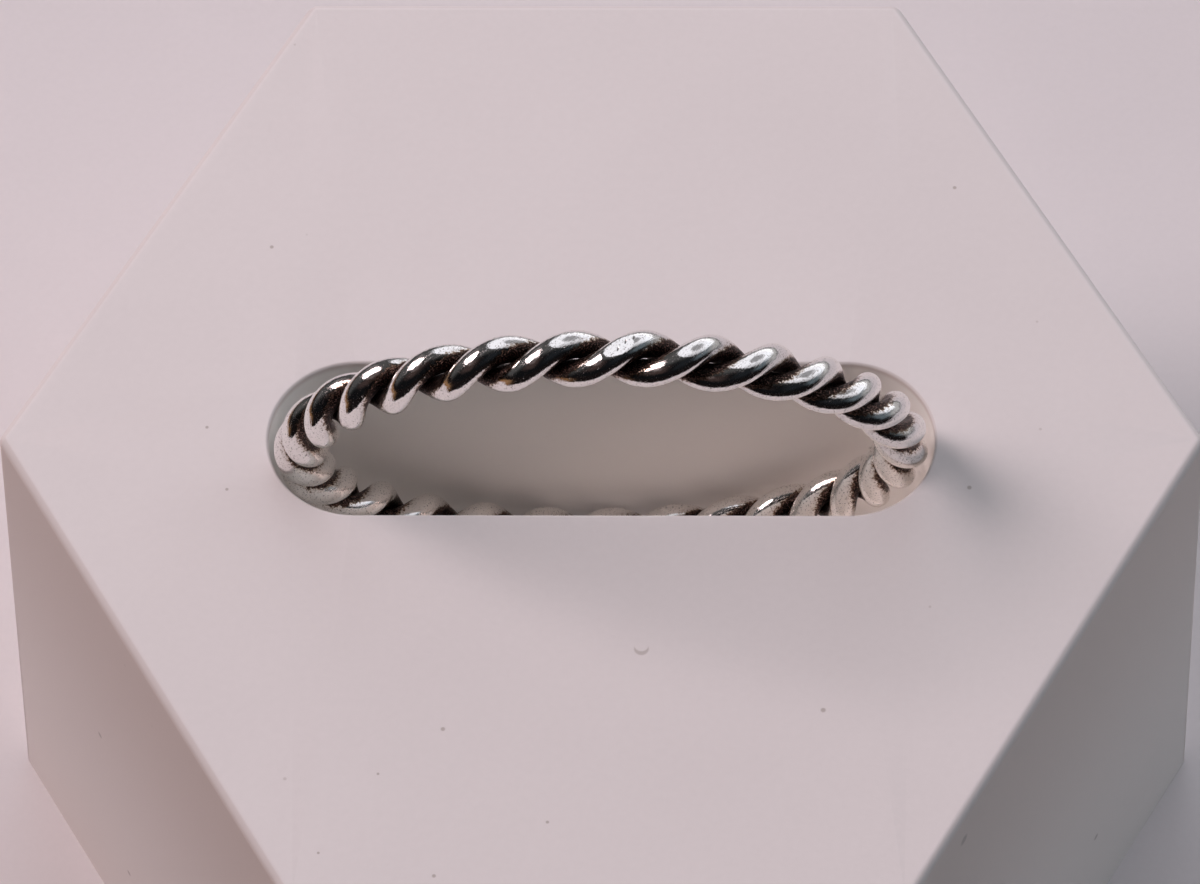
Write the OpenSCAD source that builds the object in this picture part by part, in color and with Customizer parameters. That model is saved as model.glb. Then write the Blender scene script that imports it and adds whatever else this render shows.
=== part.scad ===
// Rope twist ring standing in the slot of a hexagonal display block.
// Two round wires are twisted round each other and closed into a ring.
// Millimetres, +Z up. The origin is the middle of the block's base. The slot runs along X,
// and the ring leans towards -Y, which is the front.

/* [Ring] */
// Inside diameter of the ring, the finger hole
ring_inner_d = 17.3; // [12:0.1:24]
// Diameter of each of the two round wires
wire_d = 0.88; // [0.5:0.01:1.6]
// Gap kept between the two wires where they cross
strand_gap = 0.02; // [0.01:0.01:0.1]
// Full turns that each wire makes round the rope's middle line
twist_turns = 14; // [6:1:18]
// Turn of the twist about the rope's middle line, where the ring meets the +X end of the slot
twist_phase = 45; // [0:1:180]
// Turn of the ring about the vertical, seen from above
ring_yaw = 1; // [-2:0.5:2]

/* [Display block] */
// Distance between two opposite flats of the hexagon, at the top face
block_flats = 33.4; // [28:0.1:50]
// Height of the block
block_h = 21; // [15:0.5:40]
// Slope of the six side faces, which makes the base wider than the top
draft_angle = 1; // [0:0.1:4]
// Radius of the rounded edge round the top face
edge_r = 0.3; // [0.2:0.05:1]

/* [Slot] */
// Width of the slot
slot_w = 5.6; // [3.5:0.1:8]
// Depth of the slot below the top face
slot_depth = 10; // [7:0.5:13]
// Room between the ring and each end of the slot
slot_end_gap = 0.2; // [0.1:0.05:0.5]

/* [Seat of the ring] */
// Gap where the front of the ring leans on the slot's round ends
seat_gap = 0.07; // [0.03:0.01:0.1]
// Gap between the foot of the ring and the slot's back wall
back_gap = 0.15; // [0.05:0.01:0.4]
// Gap between the foot of the ring and the slot's floor
floor_gap = 0.05; // [0.02:0.01:0.2]

/* [Fineness] */
// Sides of a wire's cross section
wire_sides = 12; // [8:1:14]
// Cross sections in each turn of a wire
sections_per_turn = 20; // [12:1:24]
// Flat steps in the rounded edge of the block
edge_steps = 4; // [2:1:6]

/* [Hidden] */
overshoot = 1;

// The rope: the wires' middle lines run round its own middle line at this radius
helix_r = (wire_d + strand_gap) / 2;
rope_r = helix_r + wire_d / 2;
rope_path_r = ring_inner_d / 2 + rope_r;
sections = sections_per_turn * twist_turns;

// The slot, a rectangle with half-round ends
slot_half_l = rope_path_r + rope_r + slot_end_gap;
slot_end_x = slot_half_l - slot_w / 2;

// How far from the slot's middle line the rope's middle line may come
sway = slot_w / 2 - rope_r;
front_sway = sqrt(max(0, pow(sway - seat_gap, 2) - pow(sway - slot_end_gap, 2)));

// The ring leans forward from its foot at the back wall to its sides at the slot's ends
ring_y = rope_path_r * sin(abs(ring_yaw)) - front_sway;
ring_lean = asin((sway - back_gap - ring_y) / rope_path_r);
ring_z = block_h - slot_depth + floor_gap + rope_path_r * cos(ring_lean) + rope_r;

// The block's half widths across flats, and where its rounded edge begins
top_half = block_flats / 2;
base_half = top_half + block_h * tan(draft_angle);
edge_turn = 90 - draft_angle;

// Middle of a wire's cross section at the angle a round the ring, in the ring's own plane
function outward(a, start) =
    let (twist = start + twist_phase + twist_turns * a)
    [cos(twist) * cos(a), cos(twist) * sin(a), sin(twist)];
function wire_point(a, start) =
    rope_path_r * [cos(a), sin(a), 0] + helix_r * outward(a, start);

// Direction of a wire at the angle a, from two points close by on either side
function unit(v) = v / norm(v);
function along(a, start) =
    let (step = 0.01)
    unit(wire_point(a + step, start) - wire_point(a - step, start));

// One round cross section, square to the wire
function wire_section(a, start) =
    let (out = outward(a, start), side = cross(along(a, start), out))
    [for (i = [0 : wire_sides - 1])
        let (turn = 360 * i / wire_sides)
        wire_point(a, start) + wire_d / 2 * (cos(turn) * out + sin(turn) * side)];

// A wire swept round the ring until it meets itself
module closed_wire(start) {
    points = [for (s = [0 : sections - 1]) each wire_section(360 * s / sections, start)];
    faces = [
        for (s = [0 : sections - 1])
        for (i = [0 : wire_sides - 1])
            let (
                here = s * wire_sides,
                next = ((s + 1) % sections) * wire_sides,
                j = (i + 1) % wire_sides
            )
            each [[here + i, here + j, next + j], [here + i, next + j, next + i]]
    ];
    polyhedron(points = points, faces = faces, convexity = 10);
}

// Where the ring stands in the slot
module seated() {
    translate([0, ring_y, ring_z])
        rotate([90 + ring_lean, 0, ring_yaw])
            children();
}

module strand_a() {
    color([0.80, 0.79, 0.77])
        seated()
            closed_wire(0);
}

module strand_b() {
    color([0.72, 0.71, 0.69])
        seated()
            closed_wire(180);
}

// Side view of the block across two flats, with the top edges rounded into the sloping sides
function edge_arc(side) =
    let (
        centre_x = top_half - edge_r * tan(edge_turn / 2),
        centre_z = block_h - edge_r
    )
    [for (i = [0 : edge_steps])
        let (turn = 90 - edge_turn * (side > 0 ? edge_steps - i : i) / edge_steps)
        [side * (centre_x + edge_r * cos(turn)), centre_z + edge_r * sin(turn)]];

module flats_profile() {
    polygon(concat([[-base_half, 0], [base_half, 0]], edge_arc(1), edge_arc(-1)));
}

// A long bar of that profile, with its flats turned to the angle a
module flats_bar(a) {
    bar_l = 3 * base_half;
    rotate([0, 0, a])
        translate([0, bar_l / 2, 0])
            rotate([90, 0, 0])
                linear_extrude(bar_l)
                    flats_profile();
}

module slot() {
    translate([0, 0, block_h - slot_depth]) {
        translate([-slot_end_x, -slot_w / 2, 0])
            cube([2 * slot_end_x, slot_w, slot_depth + overshoot]);
        for (side = [-1, 1])
            translate([side * slot_end_x, 0, 0])
                cylinder(h = slot_depth + overshoot, d = slot_w, $fn = 96);
    }
}

module display_block() {
    color([0.84, 0.78, 0.79])
        difference() {
            intersection() {
                flats_bar(30);
                flats_bar(90);
                flats_bar(150);
            }
            slot();
        }
}

strand_a();
strand_b();
display_block();
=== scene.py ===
"""Finishes and photographs a rope twist ring that stands in the slot of a hexagonal display block."""

import math

import bmesh
import bpy
from bpy.props import FloatProperty, FloatVectorProperty, IntProperty, PointerProperty
from mathutils import Matrix, Vector


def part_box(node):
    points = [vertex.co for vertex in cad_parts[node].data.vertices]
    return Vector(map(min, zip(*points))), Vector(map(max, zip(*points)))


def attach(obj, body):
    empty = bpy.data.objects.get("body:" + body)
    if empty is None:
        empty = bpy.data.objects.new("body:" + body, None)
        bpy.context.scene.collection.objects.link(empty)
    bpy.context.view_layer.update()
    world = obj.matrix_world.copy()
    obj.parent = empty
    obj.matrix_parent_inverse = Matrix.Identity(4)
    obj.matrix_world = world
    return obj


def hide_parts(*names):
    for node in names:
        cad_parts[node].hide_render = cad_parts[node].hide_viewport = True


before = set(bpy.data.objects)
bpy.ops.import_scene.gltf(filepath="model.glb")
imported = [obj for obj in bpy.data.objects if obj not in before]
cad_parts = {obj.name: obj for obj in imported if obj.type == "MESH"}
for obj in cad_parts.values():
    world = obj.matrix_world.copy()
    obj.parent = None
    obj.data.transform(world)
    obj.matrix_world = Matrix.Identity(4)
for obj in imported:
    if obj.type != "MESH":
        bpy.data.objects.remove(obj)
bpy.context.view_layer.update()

bl_info = {
    "name": "Rope twist ring",
    "version": (1, 0, 0),
    "blender": (4, 5, 0),
    "location": "View3D > Sidebar > Rope ring",
    "description": "Twists two silver wires into a ring and stands it in a cast display block",
    "category": "Object",
}

BODY = "root"
MM = 0.001
FACE_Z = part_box("display_block")[1].z

# Fineness of the block's mesh: sides of the circle that makes the slot's two round ends, steps of
# the rounded outer edges, of the slot's rounded rim and down the slot's wall
SLOT_SIDES = 96
EDGE_STEPS = 8
RIM_STEPS = 6
WALL_STEPS = 5

# Faces smaller than this, in square metres, are shaded smooth with the rounded edges
ROUND_FACE = (2 * MM) ** 2

# How far the pressed flat may reach to either side of the worn place, round the ring
WORN_REACH = math.radians(6)

# Widths in millimetres of what shows on the silver
PATCH_W = 0.13
GRIT_W = 0.052
SCRATCH_W = 0.045
DIMPLE_W = 0.11
WAVE_W = 0.6
PIT_W = 0.34

# Depths in millimetres of the silver's relief
WAVE_DEPTH = 0.008
DIMPLE_DEPTH = 0.0024
SCRATCH_DEPTH = 0.0036
CRUST_DEPTH = 0.030
DENT_DEPTH = 0.010

# Colours from the grooves outwards. The place of each is the distance from the rope's middle as a
# share of the rope's radius, and RAGGED is how much the patches and the grit shift it.
TARNISH_AT = 0.50
TARNISH_EDGE_AT = 0.62
FILM = (
    (0.66, (0.14, 0.085, 0.058)), (0.69, (0.42, 0.34, 0.27)),
    (0.72, (0.68, 0.63, 0.59)), (0.77, (0.84, 0.81, 0.79)),
)
SILVER_AT = 0.86
RAGGED = 0.30

# Values from which and to which something eases in on the silver. The second half of a name says
# of what: the grit, the place in the rope, the polish, the scratches, or the way to a pit's middle.
CRUMB_GRIT = (0.55, 0.61)
CRUMB_PLACE = (0.72, 0.60)
SPECK_GRIT = (0.41, 0.34)
POLISH_PLACE = (0.57, 0.68)
CRUST_POLISH = (1.0, 0.2)
LINE_SCRATCH = (0.56, 0.66)
PIT_EDGE = (0.075, 0.045)

# How strongly dents and specks colour the silver, and what roughness each thing brings
DENT_SHARE = 0.7
SPECK_SHARE = 0.65
SPECK_COLOUR = (0.20, 0.155, 0.14)
DULL = 0.36
POLISHED = 0.02
SPECK_ROUGH = 0.40
LINE_ROUGH = 0.22

# How the way is squeezed before scratches or dents are laid on it: along the wire, out of the rope
# and across it
SCRATCH_SQUEEZE = (0.10, 1.0, 1.0)
DENT_SQUEEZE = (1.0, 0.55, 0.55)

# Dents on the pressed flat in millimetres: the way along the wire and the place in its section, and
# the distances from and to which a dent eases in
DENTS = ((35.32, 0.38, -0.09), (35.05, 0.39, -0.05), (34.76, 0.40, 0.12))
DENT_EDGE = (0.050, 0.030)

# The cast plaster and the table: widths and depth in millimetres, and how much clouds and grain
# shade a colour, between a darker and a lighter share of it
CLOUD_W = 7
GRAIN_W = 0.25
DUST_W = 2.6
GRAIN_DEPTH = 0.004
CLOUD_SHARE = 0.6
GRAIN_SHARE = 0.4
DARKER = 0.94
LIGHTER = 1.04
CAST_ROUGH = 0.8
TABLE_ROUGH = 0.9
CAST_SPECULAR = 0.3

# Soil in the block's specks, and painted shade along its rounded top edge: each one's share of the
# sides' colour under the top edge, and how strongly it covers
MARK_SOIL = 0.68
MARK_SHARE = 0.8
RIM_SHADE = 0.78
RIM_SHADE_SHARE = 0.3

# How far a surface faces upwards, from and to: where the sides' painted shade eases in, and where the
# painted shade of the rounded edge begins and ends
STEEP = (0.75, 0.1)
RIM_ABOVE = (0.99, 0.90)
RIM_BELOW = (0.15, 0.5)

# Where the slot's colour, painted light that makes its walls and floor brighter, eases in: from and to
# these shares of the slot's width and of the block's width, and down to this depth under the top face
SLOT_ACROSS = (1.2, 0.6)
SLOT_ALONG = (0.45, 0.38)
SLOT_LIP = 0.4 * MM

# Share of the block's height under which the sides have the foot's colour
FOOT_H = 0.2

# Specks on the block and one crescent nick in its top face, in millimetres: the place, how far
# below the top face, and the radius
SPECKS = (
    (7.0, -9.9, 0.0, 0.09), (-4.9, -10.6, 0.0, 0.08), (11.7, -1.8, 0.0, 0.08),
    (-10.7, 7.2, 0.0, 0.07), (-11.9, -1.9, 0.0, 0.06), (11.4, 9.5, 0.0, 0.07),
    (-12.6, 0.4, 0.0, 0.06), (-1.6, -13.9, 0.0, 0.06), (-5.1, -15.8, 0.0, 0.07),
    (-6.9, -12.2, 0.0, 0.05), (-8.7, -15.0, 0.0, 0.05), (11.39, -13.72, 1.45, 0.22),
    (16.29, -5.74, 16.05, 0.14), (-16.37, -5.4, 9.82, 0.13), (-15.75, -6.7, 16.9, 0.12),
)
CRESCENT = (1.3, -7.7, 0.23)

# Shares of a mark's radius from which and to which it eases in, how far the crescent's second spot
# lies from the first, and how strong the crescent and the dust are
MARK_EDGE = (1.2, 0.5)
CRESCENT_EDGE = (1.15, 0.85)
CRESCENT_SHIFT = 0.6
CRESCENT_SHARE = 0.8
DUST_EDGE = (0.030, 0.016)
DUST_SHARE = 0.5

# How far the light panels stand from the ring, in metres
PANEL_AWAY = 0.45

# Shares from which and to which the light changes over a panel: of half the warm core's width, of
# the radius of the cool panel's dim middle, and of the cool panel's width, down to COOL_END
CORE_EDGE = (0.8, 1.25)
HUB_EDGE = (0.7, 1.15)
COOL_FALL = (0.42, 0.05)
COOL_END = 0.5

# The camera's sensor in millimetres, and the nearest thing that it sees, in metres
SENSOR_W = 36.0
NEAREST = 0.01

# The room that the silver mirrors, by the direction that it is seen in. A patch eases in along the
# axes named, each from one value to another, and then come its share and its colour.
FRONT = (0.0050, 0.0052, 0.0060)
ROOM_PATCHES = (
    # Grey at the back
    ((("Y", -0.5, 0.1),), 1.0, (0.070, 0.069, 0.070)),
    # Blue grey, low at the right
    (
        (("X", 0.35, 0.65), ("Y", -0.62, -0.35), ("Z", 0.02, 0.22), ("Z", 0.60, 0.40)),
        1.0, (0.105, 0.130, 0.150),
    ),
    # Brown at the left of the front
    ((("X", 0.05, -0.35), ("Y", -0.25, -0.5), ("Z", 0.30, 0.55)), 1.0, (0.046, 0.031, 0.029)),
    # Dark blue at the right of the front
    ((("X", 0.05, 0.35), ("Y", -0.25, -0.5), ("Z", 0.20, 0.5)), 0.6, (0.016, 0.019, 0.023)),
    # Pale and low from the back to the right
    ((("Y", -0.25, 0.3), ("X", -0.3, 0.1), ("Z", 0.42, 0.10)), 1.0, (0.46, 0.45, 0.455)),
)

# What is mirrored from below the horizon: dark, with brown beyond the table's left edge
GROUND = (0.008, 0.006, 0.006)
GROUND_PATCHES = (
    ((("X", -0.25, -0.7), ("Y", -0.75, -0.4), ("Z", -0.13, -0.22)), 1.0, (0.26, 0.140, 0.070)),
)
HORIZON = (0.01, -0.03)


class RopeRingSizes(bpy.types.PropertyGroup):
    """Sizes of the ring and how it stands in the slot."""

    inner_d: FloatProperty(
        name="Inside diameter", description="Diameter of the finger hole",
        default=17.3 * MM, min=0.0, unit="LENGTH", precision=5,
    )
    wire_d: FloatProperty(
        name="Wire diameter", description="Diameter of each round wire",
        default=0.88 * MM, min=0.0, unit="LENGTH", precision=5,
    )
    strand_gap: FloatProperty(
        name="Wire gap", description="Gap between the two wires where they cross",
        default=0.02 * MM, min=0.0, unit="LENGTH", precision=5,
    )
    turns: IntProperty(
        name="Turns", description="Turns of the twist in the whole ring",
        default=14, min=1,
    )
    phase: FloatProperty(
        name="Twist start", description="Turn of the twist at the slot's right end",
        default=math.radians(45), unit="ROTATION",
    )
    yaw: FloatProperty(
        name="Yaw", description="Turn of the ring about the vertical",
        default=math.radians(1), unit="ROTATION",
    )
    seat_gap: FloatProperty(
        name="Seat gap", description="Gap at the slot's round ends, where the ring leans",
        default=0.07 * MM, min=0.0, unit="LENGTH", precision=5,
    )
    back_gap: FloatProperty(
        name="Back gap", description="Gap between the ring's foot and the slot's back wall",
        default=0.15 * MM, min=0.0, unit="LENGTH", precision=5,
    )
    floor_gap: FloatProperty(
        name="Floor gap", description="Gap between the ring's foot and the slot's floor",
        default=0.05 * MM, min=0.0, unit="LENGTH", precision=5,
    )
    worn_at: FloatProperty(
        name="Worn place", description="Where round the ring a knock has pressed one wire flat",
        default=math.radians(86.5), unit="ROTATION",
    )
    worn_turn: FloatProperty(
        name="Worn turn", description="Way that the flat faces, round the ring's own axis",
        default=math.radians(93), unit="ROTATION",
    )
    worn_tilt: FloatProperty(
        name="Worn tilt", description="Way that the flat faces, out of the ring's own plane",
        default=math.radians(-11), unit="ROTATION",
    )
    worn_depth: FloatProperty(
        name="Worn depth", description="How deep the flat is pressed into the wire",
        default=0.09 * MM, min=0.0, unit="LENGTH", precision=5,
    )
    sides: IntProperty(
        name="Wire sides", description="Sides of a wire's round section",
        default=36, min=8,
    )
    steps: IntProperty(
        name="Steps in a turn", description="Sections in one turn of the twist",
        default=80, min=12,
    )


class DisplayBlockSizes(bpy.types.PropertyGroup):
    """Sizes of the hexagonal block and its slot."""

    flats: FloatProperty(
        name="Across flats", description="Distance between opposite flats at the top",
        default=33.4 * MM, min=0.0, unit="LENGTH", precision=5,
    )
    height: FloatProperty(
        name="Height", description="Height of the block",
        default=FACE_Z, min=0.0, unit="LENGTH", precision=5,
    )
    draft: FloatProperty(
        name="Draft", description="Slope of the side faces",
        default=math.radians(1.0), unit="ROTATION",
    )
    edge_r: FloatProperty(
        name="Edge radius", description="Radius of the rounded outer edges",
        default=0.3 * MM, min=0.0, unit="LENGTH", precision=5,
    )
    rim_r: FloatProperty(
        name="Slot rim radius", description="Radius of the edge round the slot's mouth",
        default=0.12 * MM, min=0.0, unit="LENGTH", precision=5,
    )
    slot_w: FloatProperty(
        name="Slot width", description="Width of the slot",
        default=5.6 * MM, min=0.0, unit="LENGTH", precision=5,
    )
    slot_depth: FloatProperty(
        name="Slot depth", description="Depth of the slot below the top face",
        default=10 * MM, min=0.0, unit="LENGTH", precision=5,
    )
    slot_end_gap: FloatProperty(
        name="Slot end gap", description="Room between the ring and each end of the slot",
        default=0.2 * MM, min=0.0, unit="LENGTH", precision=5,
    )


class RopeRingColours(bpy.types.PropertyGroup):
    """Colours of the ring, the block and the surface that it stands on."""

    silver: FloatVectorProperty(
        name="Silver", description="Polished silver",
        default=(0.93, 0.91, 0.89), min=0.0, max=1.0, subtype="COLOR",
    )
    tarnish: FloatVectorProperty(
        name="Tarnish", description="Dark deposit in the grooves of the twist",
        default=(0.012, 0.009, 0.008), min=0.0, max=1.0, subtype="COLOR",
    )
    crumbs: FloatVectorProperty(
        name="Crumbs", description="Lighter brown grains in the tarnish",
        default=(0.26, 0.160, 0.135), min=0.0, max=1.0, subtype="COLOR",
    )
    tarnish_edge: FloatVectorProperty(
        name="Tarnish edge", description="Brown film where the polish gives way to the tarnish",
        default=(0.040, 0.024, 0.019), min=0.0, max=1.0, subtype="COLOR",
    )
    plaster: FloatVectorProperty(
        name="Plaster", description="Cast plaster of the block",
        default=(0.90, 0.85, 0.85), min=0.0, max=1.0, subtype="COLOR",
    )
    # Painted light: the slot's colour is lighter than the plaster, to brighten its walls and floor
    slot: FloatVectorProperty(
        name="Slot", description="Clean plaster inside the slot",
        default=(1.0, 0.960, 0.920), min=0.0, max=1.0, subtype="COLOR",
    )
    # Painted shade on the sides: both colours are darker than the plaster of the top, most of all
    # under the top edge
    shaded_side_top: FloatVectorProperty(
        name="Side", description="Handled plaster under the top edge",
        default=(0.765, 0.675, 0.640), min=0.0, max=1.0, subtype="COLOR",
    )
    shaded_side_foot: FloatVectorProperty(
        name="Foot", description="Cleaner plaster at the foot of the sides",
        default=(0.825, 0.762, 0.735), min=0.0, max=1.0, subtype="COLOR",
    )
    table: FloatVectorProperty(
        name="Table", description="Pale surface under the block",
        default=(0.83, 0.79, 0.805), min=0.0, max=1.0, subtype="COLOR",
    )


class ViewSizes(bpy.types.PropertyGroup):
    """Where the photograph was taken from."""

    elevation: FloatProperty(
        name="Elevation", description="Height of the view above the horizon",
        default=math.radians(59.11), unit="ROTATION",
    )
    azimuth: FloatProperty(
        name="Azimuth", description="Turn of the view to the right of the block's front",
        default=math.radians(1.04), unit="ROTATION",
    )
    roll: FloatProperty(
        name="Roll", description="Turn of the camera about its own line of sight",
        default=math.radians(-0.82), unit="ROTATION",
    )
    distance: FloatProperty(
        name="Distance", description="From the camera to the block's top face",
        default=280.5 * MM, min=0.0, unit="LENGTH", precision=5,
    )
    lens: FloatProperty(
        name="Lens", description="Focal length on a sensor 36 mm wide, in millimetres",
        default=263.9, min=1.0,
    )
    aim: FloatVectorProperty(
        name="Aim", description="Point of the top face at the middle of the picture",
        default=(-0.046 * MM, -0.130 * MM, FACE_Z), subtype="XYZ_LENGTH", precision=6,
    )


class StageSizes(bpy.types.PropertyGroup):
    """The table and the three soft panels of light, seen from the ring."""

    table_left: FloatProperty(
        name="Table to the left", description="From the block's middle to the table's left edge",
        default=90 * MM, min=0.0, unit="LENGTH", precision=5,
    )
    table_front: FloatProperty(
        name="Table to the front", description="From the block's middle to the table's front edge",
        default=32 * MM, min=0.0, unit="LENGTH", precision=5,
    )
    table_right: FloatProperty(
        name="Table to the right", description="From the block's middle to the table's right edge",
        default=0.45, min=0.0, unit="LENGTH", precision=5,
    )
    table_back: FloatProperty(
        name="Table to the back", description="From the block's middle to the table's back edge",
        default=0.45, min=0.0, unit="LENGTH", precision=5,
    )
    warm_azimuth: FloatProperty(
        name="Warm azimuth", description="Direction of the warm panel, from the back to the right",
        default=math.radians(-76), unit="ROTATION",
    )
    warm_elevation: FloatProperty(
        name="Warm elevation", description="Height of the warm panel over the horizon",
        default=math.radians(46), unit="ROTATION",
    )
    warm_roll: FloatProperty(
        name="Warm roll", description="Turn of the warm panel in its own plane",
        default=math.radians(27), unit="ROTATION",
    )
    warm_w: FloatProperty(
        name="Warm width", description="Width of the oval warm panel with its dim ends",
        default=0.95, min=0.0, unit="LENGTH", precision=5,
    )
    warm_h: FloatProperty(
        name="Warm height", description="Height of the oval warm panel",
        default=0.20, min=0.0, unit="LENGTH", precision=5,
    )
    warm_core: FloatProperty(
        name="Warm core", description="Bright share of the warm panel's width",
        default=0.265, min=0.0, max=1.0,
    )
    warm_ends: FloatProperty(
        name="Warm ends", description="Brightness of the warm panel's ends beside its core",
        default=0.012, min=0.0, max=1.0,
    )
    warm_radiance: FloatProperty(
        name="Warm radiance", description="Brightness of the warm panel's core",
        default=7.6, min=0.0,
    )
    warm_colour: FloatVectorProperty(
        name="Warm colour", description="Colour of the warm light",
        default=(1.0, 0.84, 0.85), min=0.0, max=1.0, subtype="COLOR",
    )
    cool_azimuth: FloatProperty(
        name="Cool azimuth", description="Direction of the cool panel, from the back to the right",
        default=math.radians(36), unit="ROTATION",
    )
    cool_elevation: FloatProperty(
        name="Cool elevation", description="Height of the cool panel over the horizon",
        default=math.radians(47), unit="ROTATION",
    )
    cool_roll: FloatProperty(
        name="Cool roll", description="Turn of the cool panel in its own plane",
        default=math.radians(-26), unit="ROTATION",
    )
    cool_w: FloatProperty(
        name="Cool width", description="Width of the oval cool panel",
        default=1.0, min=0.0, unit="LENGTH", precision=5,
    )
    cool_h: FloatProperty(
        name="Cool height", description="Height of the oval cool panel",
        default=0.66, min=0.0, unit="LENGTH", precision=5,
    )
    cool_radiance: FloatProperty(
        name="Cool radiance", description="Brightness of the cool panel's face",
        default=0.95, min=0.0,
    )
    cool_colour: FloatVectorProperty(
        name="Cool colour", description="Colour of the cool light",
        default=(0.93, 0.93, 1.0), min=0.0, max=1.0, subtype="COLOR",
    )
    hub_u: FloatProperty(
        name="Hub across", description="Where the dim middle of the cool panel lies in its width",
        default=0.47, min=0.0, max=1.0,
    )
    hub_v: FloatProperty(
        name="Hub up", description="Where the dim middle of the cool panel lies in its height",
        default=0.50, min=0.0, max=1.0,
    )
    hub_r: FloatProperty(
        name="Hub radius", description="Radius of the dim middle, as a share of the panel's sides",
        default=0.18, min=0.0, max=1.0,
    )
    hub_share: FloatProperty(
        name="Hub brightness", description="Brightness of the dim middle beside the panel's",
        default=0.26, min=0.0, max=1.0,
    )
    fill_azimuth: FloatProperty(
        name="Fill azimuth", description="Direction of the low fill panel, from the back to the right",
        default=math.radians(104), unit="ROTATION",
    )
    fill_elevation: FloatProperty(
        name="Fill elevation", description="Height of the low fill panel over the horizon",
        default=math.radians(9), unit="ROTATION",
    )
    fill_w: FloatProperty(
        name="Fill width", description="Width of the low fill panel",
        default=0.36, min=0.0, unit="LENGTH", precision=5,
    )
    fill_h: FloatProperty(
        name="Fill height", description="Height of the low fill panel",
        default=0.12, min=0.0, unit="LENGTH", precision=5,
    )
    fill_radiance: FloatProperty(
        name="Fill radiance", description="Brightness of the low fill panel",
        default=1.2, min=0.0,
    )
    fill_colour: FloatVectorProperty(
        name="Fill colour", description="Colour of the low fill light",
        default=(0.60, 0.88, 1.0), min=0.0, max=1.0, subtype="COLOR",
    )


def scene_sizes():
    """The groups of settings that this add-on keeps on the scene."""
    scene = bpy.context.scene
    return tuple(getattr(scene, name) for name in SETTINGS)


# How the ring is laid out

def rope_radius(ring):
    return ring.strand_gap / 2 + ring.wire_d


def rope_path_radius(ring):
    return ring.inner_d / 2 + rope_radius(ring)


def slot_end_x(ring, block):
    """From the slot's middle to the centre of each half-round end."""
    half_length = rope_path_radius(ring) + rope_radius(ring) + block.slot_end_gap
    return half_length - block.slot_w / 2


def seat_matrix(ring, block):
    """Takes the flat ring to its place, leaning between the slot's ends and its back wall."""
    path_r = rope_path_radius(ring)
    sway = block.slot_w / 2 - rope_radius(ring)
    clear = (sway - ring.seat_gap) ** 2 - (sway - block.slot_end_gap) ** 2
    y = path_r * math.sin(abs(ring.yaw)) - math.sqrt(max(0.0, clear))
    lean = math.asin((sway - ring.back_gap - y) / path_r)
    floor_z = block.height - block.slot_depth + ring.floor_gap
    z = floor_z + path_r * math.cos(lean) + rope_radius(ring)
    return (
        Matrix.Translation((0.0, y, z))
        @ Matrix.Rotation(ring.yaw, 4, "Z")
        @ Matrix.Rotation(math.pi / 2 + lean, 4, "X")
    )


def wire_frame(ring, a, start):
    """A wire's place at the angle a round the ring: X points out of the rope, Z along the wire."""
    helix_r = (ring.wire_d + ring.strand_gap) / 2

    def point(angle):
        twist = start + ring.phase + ring.turns * angle
        out = Vector((
            math.cos(twist) * math.cos(angle), math.cos(twist) * math.sin(angle), math.sin(twist)
        ))
        path = rope_path_radius(ring) * Vector((math.cos(angle), math.sin(angle), 0.0))
        return path + helix_r * out, out

    here, out = point(a)
    step = 1e-4
    along = (point(a + step)[0] - point(a - step)[0]).normalized()
    side = along.cross(out)
    return Matrix.Translation(here) @ Matrix((out, side, along)).transposed().to_4x4()


# Making of meshes

def finish_mesh(bm, name, smooth=True):
    """Turns a bmesh into an object at the origin."""
    mesh = bpy.data.meshes.new(name)
    bm.to_mesh(mesh)
    bm.free()
    if smooth:
        mesh.shade_smooth()
    piece = bpy.data.objects.new(name, mesh)
    bpy.context.scene.collection.objects.link(piece)
    return piece


def twisted_wire(ring, block, start, name):
    """One wire: its round section is extruded through one turn, and the turn is spun round."""
    bm = bmesh.new()
    place = wire_frame(ring, 0.0, start)
    bmesh.ops.create_circle(bm, segments=ring.sides, radius=ring.wire_d / 2, matrix=place)
    edges = bm.edges[:]
    turn = 2 * math.pi / ring.turns
    for step in range(1, ring.steps + 1):
        extruded = bmesh.ops.extrude_edge_only(bm, edges=edges)["geom"]
        verts = [item for item in extruded if isinstance(item, bmesh.types.BMVert)]
        edges = [item for item in extruded if isinstance(item, bmesh.types.BMEdge)]
        following = wire_frame(ring, turn * step / ring.steps, start)
        bmesh.ops.transform(bm, matrix=following @ place.inverted(), verts=verts)
        place = following
    bmesh.ops.spin(
        bm, geom=bm.verts[:] + bm.edges[:] + bm.faces[:], cent=(0, 0, 0), axis=(0, 0, 1),
        angle=turn * (ring.turns - 1), steps=ring.turns - 1, use_duplicate=True,
    )
    bmesh.ops.remove_doubles(bm, verts=bm.verts[:], dist=ring.wire_d / 1000)
    bmesh.ops.recalc_face_normals(bm, faces=bm.faces[:])
    note_wire_way(bm, ring, start)
    press_flat(bm, ring)
    bmesh.ops.transform(bm, matrix=seat_matrix(ring, block), verts=bm.verts[:])
    return finish_mesh(bm, name)


def press_flat(bm, ring):
    """Presses the wire that stands proud at the worn place back to a plane."""
    level = math.cos(ring.worn_tilt)
    facing = Vector((
        level * math.cos(ring.worn_turn), level * math.sin(ring.worn_turn), math.sin(ring.worn_tilt)
    ))
    near = [
        vert for vert in bm.verts
        if abs(math.atan2(vert.co.y, vert.co.x) - ring.worn_at) < WORN_REACH
    ]
    outer = rope_path_radius(ring) * math.cos(ring.worn_at - ring.worn_turn) * level
    plane = outer + rope_radius(ring) - ring.worn_depth
    for vert in near:
        proud = vert.co.dot(facing) - plane
        if proud > 0:
            vert.co -= proud * facing


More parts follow.
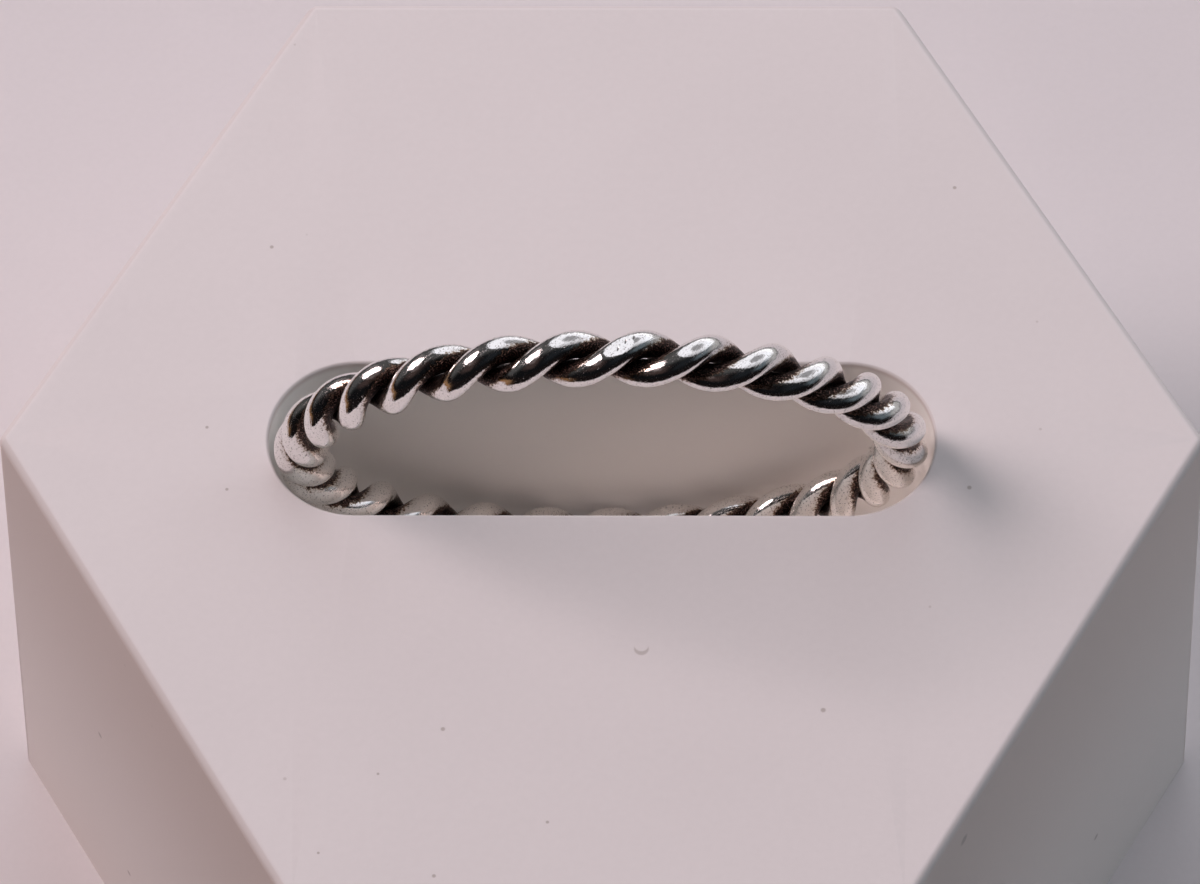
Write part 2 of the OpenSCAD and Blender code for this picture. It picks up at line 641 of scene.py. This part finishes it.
def note_wire_way(bm, ring, start):
    """Keeps the way along the wire and in its section, and the distance from the rope's middle."""
    way = bm.verts.layers.float_vector.new("wire_way")
    depth = bm.verts.layers.float.new("rope_depth")
    path_r = rope_path_radius(ring)
    helix_r = (ring.wire_d + ring.strand_gap) / 2
    wire_l = 2 * math.pi * math.hypot(path_r, ring.turns * helix_r)
    for vert in bm.verts:
        x, y, z = vert.co
        # The count starts at the foot of the ring, where the slot hides the join
        angle = math.atan2(y, x)
        share = (angle / (2 * math.pi) + 0.25) % 1.0
        twist = start + ring.phase + ring.turns * angle
        out = math.hypot(x, y) - path_r
        in_line = out * math.cos(twist) + z * math.sin(twist) - helix_r
        across = z * math.cos(twist) - out * math.sin(twist)
        vert[way] = (share * wire_l, in_line, across)
        vert[depth] = math.hypot(out, z)


class ROPERING_OT_twist_wires(bpy.types.Operator):
    """Twist the two silver wires into the ring that stands in the slot"""

    bl_idname = "rope_ring.twist_wires"
    bl_label = "Twist wires"

    def execute(self, context):
        ring, block, colours = scene_sizes()[:3]
        silver = silver_finish(ring, colours)
        for name, start in (("strand_a", 0.0), ("strand_b", math.pi)):
            wire = twisted_wire(ring, block, start, "wire_" + name[-1])
            wire.data.materials.append(silver)
            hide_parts(name)
            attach(wire, BODY)
        return {"FINISHED"}


def rounded_slot_loop(bm, ring, block, grow, z):
    """One closed loop of edges round the slot, grown outwards and laid at the height z."""
    circle = bmesh.ops.create_circle(
        bm, segments=SLOT_SIDES, radius=block.slot_w / 2 + grow,
        matrix=Matrix.Translation((0.0, 0.0, z)) @ Matrix.Rotation(math.pi / SLOT_SIDES, 4, "Z"),
    )["verts"]
    for side in (-1, 1):
        half = [vert for vert in circle if vert.co.x * side > 0]
        bmesh.ops.translate(bm, verts=half, vec=(side * slot_end_x(ring, block), 0.0, 0.0))
    # A dictionary drops the doubles and keeps the order
    return list(dict.fromkeys(edge for vert in circle for edge in vert.link_edges))


def cast_block(ring, block, name):
    """The hexagonal block, with its outer edges rounded and the slot sunk into its top."""
    bm = bmesh.new()
    sides = 6
    half_side = math.pi / sides
    corner = 1 / math.cos(half_side)
    top_r = block.flats / 2 * corner
    base_r = top_r + block.height * math.tan(block.draft) * corner
    bmesh.ops.create_cone(
        bm, cap_ends=True, segments=sides, radius1=base_r, radius2=top_r, depth=block.height,
        matrix=Matrix.Translation((0.0, 0.0, block.height / 2)) @ Matrix.Rotation(half_side, 4, "Z"),
    )
    base = [vert for vert in bm.verts if vert.co.z < block.height / 2]
    outer = [edge for edge in bm.edges if not all(vert in base for vert in edge.verts)]
    bmesh.ops.bevel(
        bm, geom=outer, offset=block.edge_r, offset_type="OFFSET", affect="EDGES",
        segments=EDGE_STEPS, profile=0.5, material=-1, clamp_overlap=True,
    )
    top = max(bm.faces, key=lambda face: face.calc_center_median().z)
    top_edges = top.edges[:]
    bmesh.ops.delete(bm, geom=[top], context="FACES_ONLY")

    turns = [math.pi / 2 * step / RIM_STEPS for step in range(RIM_STEPS + 1)]
    loops = [
        (block.rim_r * (1 - math.sin(turn)), block.height - block.rim_r * (1 - math.cos(turn)))
        for turn in turns
    ]
    wall_top = block.height - block.rim_r
    wall_h = block.slot_depth - block.rim_r
    loops += [(0.0, wall_top - wall_h * (step + 1) / WALL_STEPS) for step in range(WALL_STEPS)]
    rims = [rounded_slot_loop(bm, ring, block, grow, z) for grow, z in loops]
    walls = []
    for above, below in zip(rims, rims[1:]):
        walls += bmesh.ops.bridge_loops(bm, edges=above + below)["faces"]
    bmesh.ops.holes_fill(bm, edges=rims[-1], sides=0)
    bmesh.ops.triangle_fill(bm, edges=top_edges + rims[0], use_beauty=True)
    bmesh.ops.recalc_face_normals(bm, faces=bm.faces[:])
    for face in bm.faces:
        face.smooth = face in walls or face.calc_area() < ROUND_FACE
    return finish_mesh(bm, name, smooth=False)


class ROPERING_OT_cast_block(bpy.types.Operator):
    """Cast the hexagonal display block with its slot"""

    bl_idname = "rope_ring.cast_block"
    bl_label = "Cast block"

    def execute(self, context):
        ring, block, colours = scene_sizes()[:3]
        piece = cast_block(ring, block, "cast_block")
        piece.data.materials.append(plaster_finish(block, colours))
        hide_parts("display_block")
        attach(piece, BODY)
        return {"FINISHED"}


# Finishes

def new_material(name):
    """A material with a Principled shader, ready for its nodes."""
    material = bpy.data.materials.new(name)
    material.use_nodes = True
    tree = material.node_tree
    tree.nodes.clear()
    shader = tree.nodes.new("ShaderNodeBsdfPrincipled")
    output = tree.nodes.new("ShaderNodeOutputMaterial")
    tree.links.new(shader.outputs["BSDF"], output.inputs["Surface"])
    return material, tree, shader


def new_node(tree, kind, inputs=None, **settings):
    """Adds a node; each input takes a value or the output of another node."""
    node = tree.nodes.new(kind)
    for name, value in settings.items():
        setattr(node, name, value)
    for name, value in (inputs or {}).items():
        if isinstance(value, bpy.types.NodeSocket):
            tree.links.new(value, node.inputs[name])
        else:
            node.inputs[name].default_value = value
    return node


def sum_of(tree, first, second):
    return new_node(tree, "ShaderNodeMath", {0: first, 1: second}, operation="ADD").outputs[0]


def product_of(tree, first, second):
    return new_node(tree, "ShaderNodeMath", {0: first, 1: second}, operation="MULTIPLY").outputs[0]


def size_of(tree, value):
    """The value without its sign."""
    return new_node(tree, "ShaderNodeMath", {0: value}, operation="ABSOLUTE").outputs[0]


def eased(tree, value, low, high, to_low=0.0, to_high=1.0):
    """Runs smoothly from to_low to to_high as the value goes from low to high."""
    inputs = {
        "Value": value, "From Min": low, "From Max": high, "To Min": to_low, "To Max": to_high,
    }
    mapped = new_node(tree, "ShaderNodeMapRange", inputs, interpolation_type="SMOOTHSTEP")
    return mapped.outputs["Result"]


def mixed(tree, share, first, second):
    """Mixes two colours."""
    mix = new_node(tree, "ShaderNodeMix", data_type="RGBA")
    for name, value in (("Factor", share), ("A", first), ("B", second)):
        socket = next(item for item in mix.inputs if item.name == name and item.enabled)
        if isinstance(value, bpy.types.NodeSocket):
            tree.links.new(value, socket)
        else:
            socket.default_value = value
    return next(item for item in mix.outputs if item.enabled)


def noise(tree, place, grain, detail=2.0):
    """Cloudy noise whose patches are about as wide as the grain."""
    inputs = {"Vector": place, "Scale": 1 / grain, "Detail": detail}
    return new_node(tree, "ShaderNodeTexNoise", inputs).outputs["Fac"]


def distance_to(tree, place, point):
    """How far the place is from a point."""
    away = new_node(tree, "ShaderNodeVectorMath", {0: place, 1: point}, operation="DISTANCE")
    return away.outputs["Value"]


def scaled(tree, place, factors):
    """The place stretched by a factor along each axis."""
    scaling = new_node(tree, "ShaderNodeVectorMath", {0: place, 1: factors}, operation="MULTIPLY")
    return scaling.outputs["Vector"]


def shares_of(size, shares):
    """The size times each of the shares."""
    return tuple(share * size for share in shares)


def darkened(colour, share):
    """A share of a colour, with its alpha."""
    return (*(share * part for part in colour), 1.0)


def bumped(tree, height, depth, under=None):
    """Normals of a relief whose height runs over the depth."""
    inputs = {"Height": height, "Distance": depth, "Strength": 1.0}
    if under is not None:
        inputs["Normal"] = under
    return new_node(tree, "ShaderNodeBump", inputs).outputs["Normal"]


def silver_finish(ring, colours):
    """Polished silver with fine scratches, darkened where the wires meet."""
    material, tree, shader = new_material("polished_silver")
    place = new_node(tree, "ShaderNodeTexCoord").outputs["Object"]
    way = new_node(tree, "ShaderNodeAttribute", attribute_name="wire_way").outputs["Vector"]
    depth = new_node(tree, "ShaderNodeAttribute", attribute_name="rope_depth").outputs["Fac"]

    # Polishing reaches the outer part of the rope and leaves the grooves dark
    patchy = noise(tree, place, PATCH_W * MM, detail=4.0)
    grit = noise(tree, place, GRIT_W * MM, detail=2.0)
    ragged = sum_of(
        tree, product_of(tree, sum_of(tree, patchy, -0.5), RAGGED),
        product_of(tree, sum_of(tree, grit, -0.5), RAGGED),
    )
    reached = sum_of(tree, product_of(tree, depth, 1 / rope_radius(ring)), ragged)
    ramp = new_node(tree, "ShaderNodeValToRGB", {"Fac": reached})
    stops = ramp.color_ramp.elements
    stops[0].position, stops[1].position = TARNISH_AT, SILVER_AT
    stops[0].color = (*colours.tarnish, 1.0)
    stops[1].color = (*colours.silver, 1.0)
    for share, colour in ((TARNISH_EDGE_AT, colours.tarnish_edge), *FILM):
        stops.new(share).color = (*colour, 1.0)
    crumbs = product_of(tree, eased(tree, grit, *CRUMB_GRIT), eased(tree, reached, *CRUMB_PLACE))
    colour = mixed(tree, crumbs, ramp.outputs["Color"], (*colours.crumbs, 1.0))
    sunk = dents(tree, way, place)
    colour = mixed(tree, product_of(tree, sunk, DENT_SHARE), colour, (*colours.tarnish_edge, 1.0))
    specks = product_of(tree, eased(tree, grit, *SPECK_GRIT), SPECK_SHARE)
    colour = mixed(tree, specks, colour, (*SPECK_COLOUR, 1.0))
    tree.links.new(colour, shader.inputs["Base Color"])
    polish = eased(tree, reached, *POLISH_PLACE)

    # Scratches run along the wire, over a fine unevenness left by the hammer and the drawplate
    along = scaled(tree, way, SCRATCH_SQUEEZE)
    scratches = noise(tree, along, SCRATCH_W * MM, detail=3.0)
    lines = eased(tree, scratches, *LINE_SCRATCH)
    roughness = sum_of(
        tree, eased(tree, polish, 0.0, 1.0, DULL, POLISHED),
        sum_of(tree, product_of(tree, specks, SPECK_ROUGH), product_of(tree, lines, LINE_ROUGH)),
    )
    tree.links.new(roughness, shader.inputs["Roughness"])
    dimples = noise(tree, place, DIMPLE_W * MM, detail=2.0)
    waves = noise(tree, place, WAVE_W * MM, detail=1.0)
    crusted = product_of(tree, grit, eased(tree, polish, *CRUST_POLISH))
    normal = None
    for relief, relief_h in (
        (waves, WAVE_DEPTH), (dimples, DIMPLE_DEPTH), (scratches, SCRATCH_DEPTH),
        (crusted, CRUST_DEPTH), (sunk, -DENT_DEPTH),
    ):
        normal = bumped(tree, relief, relief_h * MM, normal)
    tree.links.new(normal, shader.inputs["Normal"])
    shader.inputs["Metallic"].default_value = 1.0
    return material


def dents(tree, way, place):
    """One inside the dents on the pressed flat and in the small pits all over, nought elsewhere."""
    squeezed = scaled(tree, way, DENT_SQUEEZE)
    pits = new_node(tree, "ShaderNodeTexVoronoi", {"Vector": place, "Scale": 1 / (PIT_W * MM)})
    sunk = eased(tree, pits.outputs["Distance"], *PIT_EDGE)
    for dent in DENTS:
        spot = tuple(MM * part * share for part, share in zip(dent, DENT_SQUEEZE))
        away = distance_to(tree, squeezed, spot)
        sunk = sum_of(tree, sunk, eased(tree, away, *shares_of(MM, DENT_EDGE)))
    return sunk


def pale_cast(name, roughness):
    """A matte pale body with a fine grain; gives back the cloudiness that shades its colour."""
    material, tree, shader = new_material(name)
    place = new_node(tree, "ShaderNodeTexCoord").outputs["Object"]
    clouds = noise(tree, place, CLOUD_W * MM, detail=3.0)
    grain = noise(tree, place, GRAIN_W * MM, detail=3.0)
    shade = sum_of(
        tree, product_of(tree, clouds, CLOUD_SHARE), product_of(tree, grain, GRAIN_SHARE)
    )
    normal = bumped(tree, grain, GRAIN_DEPTH * MM)
    tree.links.new(normal, shader.inputs["Normal"])
    shader.inputs["Roughness"].default_value = roughness
    shader.inputs["Specular IOR Level"].default_value = CAST_SPECULAR
    return material, tree, shader, place, shade


def clouded(tree, shade, colour):
    """A colour that runs from a little darker to a little lighter with the cloudiness."""
    lighter = tuple(min(1.0, LIGHTER * part) for part in colour)
    return mixed(tree, shade, darkened(colour, DARKER), (*lighter, 1.0))


def face_marks(tree, place):
    """One inside the specks and nicks of the block, nought elsewhere."""
    marks = 0.0
    for x, y, below, radius in SPECKS:
        away = distance_to(tree, place, (x * MM, y * MM, FACE_Z - below * MM))
        marks = sum_of(tree, marks, eased(tree, away, *shares_of(radius * MM, MARK_EDGE)))
    # A crescent is what one round spot leaves of another
    x, y, radius = CRESCENT
    spots = []
    for shift in (0.0, CRESCENT_SHIFT):
        away = distance_to(tree, place, (x * MM, (y + shift * radius) * MM, FACE_Z))
        spots.append(eased(tree, away, *shares_of(radius * MM, CRESCENT_EDGE)))
    rest = sum_of(tree, 1.0, product_of(tree, spots[1], -1.0))
    crescent = product_of(tree, spots[0], rest)
    marks = sum_of(tree, marks, product_of(tree, crescent, CRESCENT_SHARE))
    dust = new_node(tree, "ShaderNodeTexVoronoi", {"Vector": place, "Scale": 1 / (DUST_W * MM)})
    return sum_of(tree, marks, eased(tree, dust.outputs["Distance"], *DUST_EDGE, 0.0, DUST_SHARE))


def plaster_finish(block, colours):
    """Cast plaster with its specks: painted light makes the slot bright, and painted shade darkens the
    sides, most of all under the top edge, and the rounded top edge.
    """
    material, tree, shader, place, shade = pale_cast("cast_plaster", CAST_ROUGH)
    parts = new_node(tree, "ShaderNodeSeparateXYZ", {"Vector": place}).outputs
    facing = new_node(tree, "ShaderNodeNewGeometry").outputs["Normal"]
    upward = new_node(tree, "ShaderNodeSeparateXYZ", {"Vector": facing}).outputs["Z"]
    steep = eased(tree, upward, *STEEP)
    off_middle = size_of(tree, parts["Y"])
    beside = size_of(tree, parts["X"])
    # Painted light: near the slot and below its rim the plaster takes the slot's lighter colour
    near_slot = product_of(
        tree, eased(tree, off_middle, *shares_of(block.slot_w, SLOT_ACROSS)),
        eased(tree, beside, *shares_of(block.flats, SLOT_ALONG)),
    )
    sunk = eased(tree, parts["Z"], block.height, block.height - SLOT_LIP)
    slot_light = product_of(tree, near_slot, sunk)
    # Painted shade: the steep sides take darker copies of the plaster's colour, darkest under the top
    # edge
    foot = eased(tree, parts["Z"], block.height, FOOT_H * block.height)
    sides = mixed(tree, foot, (*colours.shaded_side_top, 1.0), (*colours.shaded_side_foot, 1.0))
    marks = face_marks(tree, place)
    colour = mixed(tree, steep, clouded(tree, shade, colours.plaster), sides)
    marked = product_of(tree, marks, MARK_SHARE)
    colour = mixed(tree, marked, colour, darkened(colours.shaded_side_top, MARK_SOIL))
    # Painted shade dims the rounded top edge
    rim = product_of(tree, eased(tree, upward, *RIM_ABOVE), eased(tree, upward, *RIM_BELOW))
    rim = product_of(tree, rim, RIM_SHADE_SHARE)
    colour = mixed(tree, rim, colour, darkened(colours.shaded_side_top, RIM_SHADE))
    colour = mixed(tree, slot_light, colour, (*colours.slot, 1.0))
    tree.links.new(colour, shader.inputs["Base Color"])
    return material


def table_finish(colours):
    """The pale surface under the block."""
    material, tree, shader, _place, shade = pale_cast("pale_table", TABLE_ROUGH)
    tree.links.new(clouded(tree, shade, colours.table), shader.inputs["Base Color"])
    return material


# Stage

def soft_panel(name, azimuth, elevation, roll, size, radiance, colour):
    """An oval panel of even light that faces the ring, placed by its direction from the ring."""
    level = math.cos(elevation)
    away = Vector((math.sin(azimuth) * level, math.cos(azimuth) * level, math.sin(elevation)))
    data = bpy.data.lights.new(name, "AREA")
    data.shape = "ELLIPSE"
    data.size, data.size_y = size
    data.color = colour
    area = size[0] * size[1] * (math.pi / 4)
    data.energy = radiance * math.pi * area
    lamp = bpy.data.objects.new(name, data)
    lamp.matrix_world = (
        Matrix.Translation(Vector((0.0, 0.0, FACE_Z)) + PANEL_AWAY * away)
        @ away.to_track_quat("Z", "Y").to_matrix().to_4x4()
        @ Matrix.Rotation(roll, 4, "Z")
    )
    bpy.context.scene.collection.objects.link(lamp)
    return lamp


def shade_panel(lamp, strength_of):
    """Lets the light of a panel change over its face; strength_of gets the place as two shares."""
    lamp.data.use_nodes = True
    tree = lamp.data.node_tree
    place = new_node(tree, "ShaderNodeNewGeometry").outputs["Parametric"]
    shares = new_node(tree, "ShaderNodeSeparateXYZ", {"Vector": place}).outputs
    strength = strength_of(tree, place, shares)
    tree.links.new(strength, tree.nodes["Emission"].inputs["Strength"])


def set_lights(lights):
    """A warm lamp to the left, a large cool one at the right back and a low fill to the right."""
    def warm_core(tree, _place, shares):
        off_middle = size_of(tree, sum_of(tree, shares["X"], -0.5))
        edge = shares_of(lights.warm_core / 2, CORE_EDGE)
        return eased(tree, off_middle, *edge, 1.0, lights.warm_ends)

    def cool_hub(tree, place, shares):
        away = distance_to(tree, place, (lights.hub_u, lights.hub_v, 0.0))
        hub = eased(tree, away, *shares_of(lights.hub_r, HUB_EDGE), lights.hub_share, 1.0)
        return product_of(tree, hub, eased(tree, shares["X"], *COOL_FALL, 1.0, COOL_END))

    warm = soft_panel(
        "warm_panel", lights.warm_azimuth, lights.warm_elevation, lights.warm_roll,
        (lights.warm_w, lights.warm_h), lights.warm_radiance, lights.warm_colour,
    )
    shade_panel(warm, warm_core)
    cool = soft_panel(
        "cool_panel", lights.cool_azimuth, lights.cool_elevation, lights.cool_roll,
        (lights.cool_w, lights.cool_h), lights.cool_radiance, lights.cool_colour,
    )
    shade_panel(cool, cool_hub)
    fill = soft_panel(
        "fill_panel", lights.fill_azimuth, lights.fill_elevation, 0.0,
        (lights.fill_w, lights.fill_h), lights.fill_radiance, lights.fill_colour,
    )
    # The silver mirrors no panel there
    fill.visible_glossy = False


def painted(tree, rays, colour, patches):
    """A colour of the room with its patches laid over each other."""
    colour = (*colour, 1.0)
    for edges, share, patch_colour in patches:
        inside = share
        for axis, outer, inner in edges:
            inside = product_of(tree, inside, eased(tree, rays[axis], outer, inner))
        colour = mixed(tree, inside, colour, (*patch_colour, 1.0))
    return colour


def set_room():
    """A dark room, greyer towards the back, over a dark ground."""
    world = bpy.data.worlds.new("room")
    world.use_nodes = True
    tree = world.node_tree
    ray = new_node(tree, "ShaderNodeTexCoord").outputs["Generated"]
    rays = new_node(tree, "ShaderNodeSeparateXYZ", {"Vector": ray}).outputs
    room = painted(tree, rays, FRONT, ROOM_PATCHES)
    ground = painted(tree, rays, GROUND, GROUND_PATCHES)
    colour = mixed(tree, eased(tree, rays["Z"], *HORIZON), room, ground)
    tree.links.new(colour, tree.nodes["Background"].inputs["Color"])
    bpy.context.scene.world = world


def lay_table(stage, colours):
    """The corner of a pale table."""
    bm = bmesh.new()
    bmesh.ops.create_grid(bm, x_segments=1, y_segments=1, size=0.5)
    width, length = stage.table_right + stage.table_left, stage.table_back + stage.table_front
    bmesh.ops.scale(bm, vec=(width, length, 1.0), verts=bm.verts[:])
    middle = (
        (stage.table_right - stage.table_left) / 2, (stage.table_back - stage.table_front) / 2, 0.0
    )
    bmesh.ops.translate(bm, vec=middle, verts=bm.verts[:])
    table = finish_mesh(bm, "table", smooth=False)
    table.data.materials.append(table_finish(colours))


def set_camera(view):
    """The camera of the photograph."""
    data = bpy.data.cameras.new("camera")
    data.sensor_width = SENSOR_W
    data.lens = view.lens
    data.clip_start = NEAREST
    camera = bpy.data.objects.new("camera", data)
    camera.matrix_world = (
        Matrix.Translation(view.aim)
        @ Matrix.Rotation(view.azimuth, 4, "Z")
        @ Matrix.Rotation(math.pi / 2 - view.elevation, 4, "X")
        @ Matrix.Rotation(view.roll, 4, "Z")
        @ Matrix.Translation((0.0, 0.0, view.distance))
    )
    bpy.context.scene.collection.objects.link(camera)
    bpy.context.scene.camera = camera
    bpy.context.scene.view_settings.view_transform = "Standard"


class ROPERING_OT_set_stage(bpy.types.Operator):
    """Lay the pale table and set the camera and the lights"""

    bl_idname = "rope_ring.set_stage"
    bl_label = "Set stage"

    def execute(self, context):
        _ring, _block, colours, view, stage = scene_sizes()
        lay_table(stage, colours)
        set_camera(view)
        set_lights(stage)
        set_room()
        return {"FINISHED"}


class ROPERING_PT_sidebar(bpy.types.Panel):
    """Lists the settings and the steps that build the ring"""

    bl_idname = "ROPERING_PT_sidebar"
    bl_label = "Rope twist ring"
    bl_space_type = "VIEW_3D"
    bl_region_type = "UI"
    bl_category = "Rope ring"

    def draw(self, context):
        for settings in scene_sizes():
            box = self.layout.box()
            for name in settings.bl_rna.properties.keys():
                if name not in ("rna_type", "name"):
                    box.prop(settings, name)
        for step in STEPS:
            self.layout.operator(step.bl_idname)


SETTINGS = {
    "rope_ring": RopeRingSizes,
    "display_block": DisplayBlockSizes,
    "rope_colours": RopeRingColours,
    "rope_view": ViewSizes,
    "rope_stage": StageSizes,
}
STEPS = (ROPERING_OT_twist_wires, ROPERING_OT_cast_block, ROPERING_OT_set_stage)


def register():
    for settings in SETTINGS.values():
        bpy.utils.register_class(settings)
    for step in STEPS:
        bpy.utils.register_class(step)
    bpy.utils.register_class(ROPERING_PT_sidebar)
    for name, settings in SETTINGS.items():
        setattr(bpy.types.Scene, name, PointerProperty(type=settings))


def unregister():
    for name in SETTINGS:
        delattr(bpy.types.Scene, name)
    bpy.utils.unregister_class(ROPERING_PT_sidebar)
    for step in reversed(STEPS):
        bpy.utils.unregister_class(step)
    for settings in reversed(list(SETTINGS.values())):
        bpy.utils.unregister_class(settings)


def main():
    register()
    bpy.ops.rope_ring.twist_wires()
    bpy.ops.rope_ring.cast_block()
    bpy.ops.rope_ring.set_stage()


if __name__ == "__main__":
    main()
